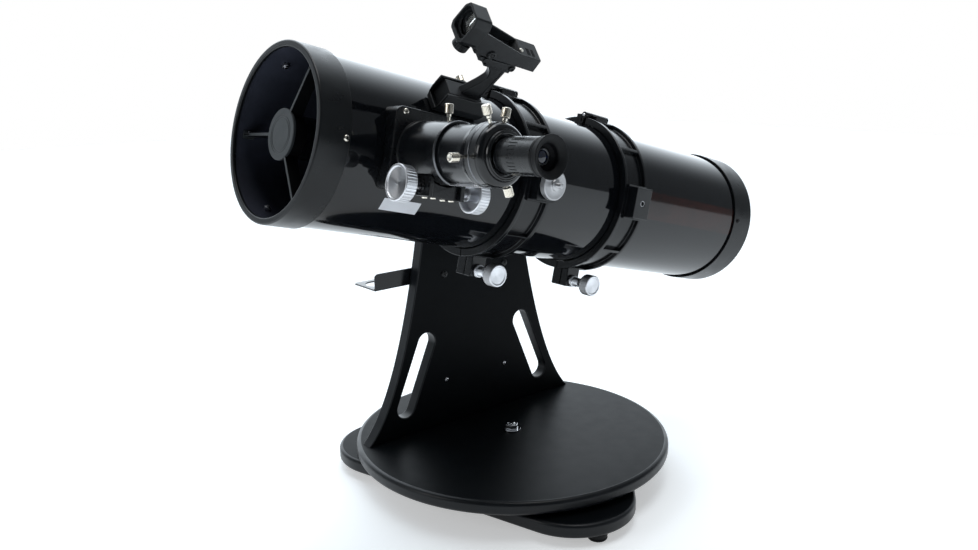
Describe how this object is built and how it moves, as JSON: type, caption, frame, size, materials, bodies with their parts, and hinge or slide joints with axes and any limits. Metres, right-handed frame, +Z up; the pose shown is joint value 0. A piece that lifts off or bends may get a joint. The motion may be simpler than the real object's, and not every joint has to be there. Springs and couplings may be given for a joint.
{
  "type": "newtonian reflector telescope",
  "caption": "Newtonian reflector on a side-arm tabletop rocker base, with tube rings, dovetail, rack focuser, eyepiece and red-dot finder; every knob, ring, slide and bearing moves.",
  "frame": {"origin": "centre of the whole object's footprint box, at floor level under the feet", "axes": "+Z up; the tube lies along Y with its open front towards -Y and raised 13.8 degrees; the focuser, eyepiece and finder are on the +X side and the single side board on the -X side"},
  "size_m": [0.5699, 0.7476, 0.6161],
  "materials": {
    "laminate": "matte black laminate on board",
    "tube_paint": "gloss black paint",
    "cast_metal": "satin black paint",
    "black_anodised": "satin black anodised",
    "bright_aluminium": "turned, satin",
    "steel": "brushed",
    "chrome": "bright plated",
    "black_plastic": "satin black",
    "rubber": "matte black",
    "nylon": "natural white",
    "mirror": "front-silvered, polished",
    "glass": "clear, coated"
  },
  "bodies": {
    "ground": {"ground_board": "laminate", "foot_1": "rubber", "foot_2": "rubber", "foot_3": "rubber", "glide_ring": "nylon", "pivot_bolt": "chrome", "pivot_nut": "chrome"},
    "turntable": {"turntable_disc": "laminate", "side_board": "laminate", "gusset_1": "laminate", "gusset_2": "laminate", "eyepiece_rack": "cast_metal"},
    "cradle": {"altitude_spindle": "steel", "altitude_washer": "nylon", "dovetail_clamp": "cast_metal", "dovetail_bar": "cast_metal", "ring_far_1": "cast_metal", "ring_far_2": "cast_metal", "hinge_pin_1": "steel", "hinge_pin_2": "steel"},
    "ota": {"tube": "tube_paint", "front_cap": "black_plastic", "rear_cap": "black_plastic", "mirror_cell": "cast_metal", "primary_mirror": "mirror", "spider": "cast_metal", "secondary_holder": "cast_metal", "secondary_mirror": "mirror", "focuser_base": "black_anodised", "pinion_cover": "black_anodised", "finder_shoe": "black_plastic"},
    "drawtube": {"drawtube": "black_anodised", "drawtube_collar": "black_anodised"},
    "focus_knobs": {"focus_shaft": "steel", "focus_knob_front": "bright_aluminium", "focus_knob_rear": "bright_aluminium"},
    "adapter": {"eyepiece_adapter": "black_anodised"},
    "eyepiece": {"eyepiece_body": "black_anodised", "eyepiece_cup": "rubber", "eyepiece_lens": "glass"},
    "finder_body": {"finder_body": "black_plastic", "finder_window": "glass"},
    "tension_knob": {"tension_knob": "black_plastic"},
    "clamp_knob": {"clamp_knob": "bright_aluminium"},
    "ring_near_1": {"ring_near_1": "cast_metal"},
    "ring_near_2": {"ring_near_2": "cast_metal"},
    "ring_knob_1": {"ring_knob_1": "bright_aluminium"},
    "ring_knob_2": {"ring_knob_2": "bright_aluminium"},
    "piggyback_knob": {"piggyback_knob": "bright_aluminium"},
    "focus_lock_screw": {"focus_lock_screw": "bright_aluminium"},
    "collar_screw": {"collar_screw": "bright_aluminium"},
    "adapter_screw_1": {"adapter_screw_1": "bright_aluminium"},
    "adapter_screw_2": {"adapter_screw_2": "bright_aluminium"},
    "adapter_screw_3": {"adapter_screw_3": "bright_aluminium"},
    "shoe_screw": {"shoe_screw": "bright_aluminium"},
    "finder_stalk": {"finder_stalk": "black_plastic"},
    "finder_dial": {"finder_dial": "black_plastic"},
    "collimation_knob_1": {"collimation_knob_1": "bright_aluminium"},
    "collimation_knob_2": {"collimation_knob_2": "bright_aluminium"},
    "collimation_knob_3": {"collimation_knob_3": "bright_aluminium"}
  },
  "joints": [
    {"name": "azimuth_turn", "type": "hinge", "parent": "ground", "child": "turntable", "pos_m": [-0.0655, 0.0212, 0.0335], "axis": [0, 0, 1], "continuous": true},
    {"name": "altitude_tilt", "type": "hinge", "parent": "turntable", "child": "cradle", "pos_m": [-0.00115, 0.0212, 0.4044], "axis": [-1, 0, 0], "range_deg": [-18.8, 76.2]},
    {"name": "tube_roll", "type": "hinge", "parent": "cradle", "child": "ota", "pos_m": [-0.00115, 0.0212, 0.4044], "axis": [0, -0.9712, 0.2384], "range_deg": [-30, 30]},
    {"name": "tension_knob_turn", "type": "hinge", "parent": "cradle", "child": "tension_knob", "pos_m": [-0.17115, 0.0212, 0.4044], "axis": [-1, 0, 0], "range_deg": [-45, 540]},
    {"name": "clamp_knob_turn", "type": "hinge", "parent": "cradle", "child": "clamp_knob", "pos_m": [-0.12915, 0.01047, 0.3607], "axis": [0, -0.2384, -0.9712], "range_deg": [-45, 1080]},
    {"name": "ring_1_open", "type": "hinge", "parent": "cradle", "child": "ring_near_1", "pos_m": [0.00585, -0.05393, 0.52787], "axis": [0, -0.9712, 0.2384], "range_deg": [0, 70]},
    {"name": "ring_2_open", "type": "hinge", "parent": "cradle", "child": "ring_near_2", "pos_m": [0.00585, 0.10641, 0.48851], "axis": [0, -0.9712, 0.2384], "range_deg": [0, 70]},
    {"name": "ring_knob_1_turn", "type": "hinge", "parent": "ring_near_1", "child": "ring_knob_1", "pos_m": [0.03885, -0.10533, 0.31848], "axis": [1, 0, 0], "range_deg": [0, 1080]},
    {"name": "ring_knob_2_turn", "type": "hinge", "parent": "ring_near_2", "child": "ring_knob_2", "pos_m": [0.03885, 0.05502, 0.27913], "axis": [1, 0, 0], "range_deg": [0, 1080]},
    {"name": "piggyback_knob_turn", "type": "hinge", "parent": "ring_near_1", "child": "piggyback_knob", "pos_m": [0.11885, -0.07825, 0.42881], "axis": [1, 0, 0], "range_deg": [0, 1080]},
    {"name": "focus_slide", "type": "slide", "parent": "ota", "child": "drawtube", "axis": [0.9986, 0.0125, 0.0508], "range_m": [-0.034, 0.012]},
    {"name": "focus_knob_turn", "type": "hinge", "parent": "ota", "child": "focus_knobs", "pos_m": [0.1385, -0.25027, 0.44237], "axis": [0, 0.9712, -0.2384], "range_deg": [-380, 140]},
    {"name": "focus_lock_turn", "type": "hinge", "parent": "ota", "child": "focus_lock_screw", "pos_m": [0.13855, -0.23639, 0.51669], "axis": [-0.052, 0.1352, 0.9894], "range_deg": [0, 720]},
    {"name": "collar_screw_turn", "type": "hinge", "parent": "drawtube", "child": "collar_screw", "pos_m": [0.20621, -0.28203, 0.48123], "axis": [0.0109, -0.9994, 0.0315], "range_deg": [0, 720]},
    {"name": "adapter_slide", "type": "slide", "parent": "drawtube", "child": "adapter", "axis": [0.9986, 0.0125, 0.0508], "range_m": [0, 0.03]},
    {"name": "adapter_screw_1_turn", "type": "hinge", "parent": "adapter", "child": "adapter_screw_1", "pos_m": [0.21296, -0.22986, 0.51491], "axis": [-0.0522, 0.3052, 0.9509], "range_deg": [0, 720]},
    {"name": "adapter_screw_2_turn", "type": "hinge", "parent": "adapter", "child": "adapter_screw_2", "pos_m": [0.21633, -0.23053, 0.4488], "axis": [0.0444, 0.3128, -0.9488], "range_deg": [0, 720]},
    {"name": "adapter_screw_3_turn", "type": "hinge", "parent": "adapter", "child": "adapter_screw_3", "pos_m": [0.21302, -0.2507, 0.51883], "axis": [-0.0462, -0.2458, 0.9682], "range_deg": [0, 720]},
    {"name": "eyepiece_slide", "type": "slide", "parent": "adapter", "child": "eyepiece", "axis": [0.9986, 0.0125, 0.0508], "range_m": [0, 0.035]},
    {"name": "shoe_screw_turn", "type": "hinge", "parent": "ota", "child": "shoe_screw", "pos_m": [0.06819, -0.16629, 0.5425], "axis": [-0.6561, 0.1799, 0.733], "range_deg": [0, 720]},
    {"name": "finder_slide", "type": "slide", "parent": "ota", "child": "finder_stalk", "axis": [0, -0.9712, 0.2384], "range_m": [0, 0.03]},
    {"name": "finder_tilt", "type": "hinge", "parent": "finder_stalk", "child": "finder_body", "pos_m": [0.12753, -0.15366, 0.56249], "axis": [0.6561, -0.1799, -0.733], "range_deg": [-2, 2]},
    {"name": "finder_dial_turn", "type": "hinge", "parent": "finder_body", "child": "finder_dial", "pos_m": [0.12942, -0.21299, 0.57875], "axis": [-0.7547, -0.1564, -0.6371], "range_deg": [0, 270]},
    {"name": "collimation_knob_1_turn", "type": "hinge", "parent": "ota", "child": "collimation_knob_1", "pos_m": [0.06476, 0.35417, 0.32623], "axis": [0, 0.9712, -0.2384], "range_deg": [-360, 360]},
    {"name": "collimation_knob_2_turn", "type": "hinge", "parent": "ota", "child": "collimation_knob_2", "pos_m": [-0.0371, 0.36654, 0.37664], "axis": [0, 0.9712, -0.2384], "range_deg": [-360, 360]},
    {"name": "collimation_knob_3_turn", "type": "hinge", "parent": "ota", "child": "collimation_knob_3", "pos_m": [-0.03111, 0.33932, 0.26577], "axis": [0, 0.9712, -0.2384], "range_deg": [-360, 360]}
  ],
  "couplings": [
    {"joint": "focus_knob_turn", "follows": "focus_slide", "rad_per_m": 192.31}
  ]
}
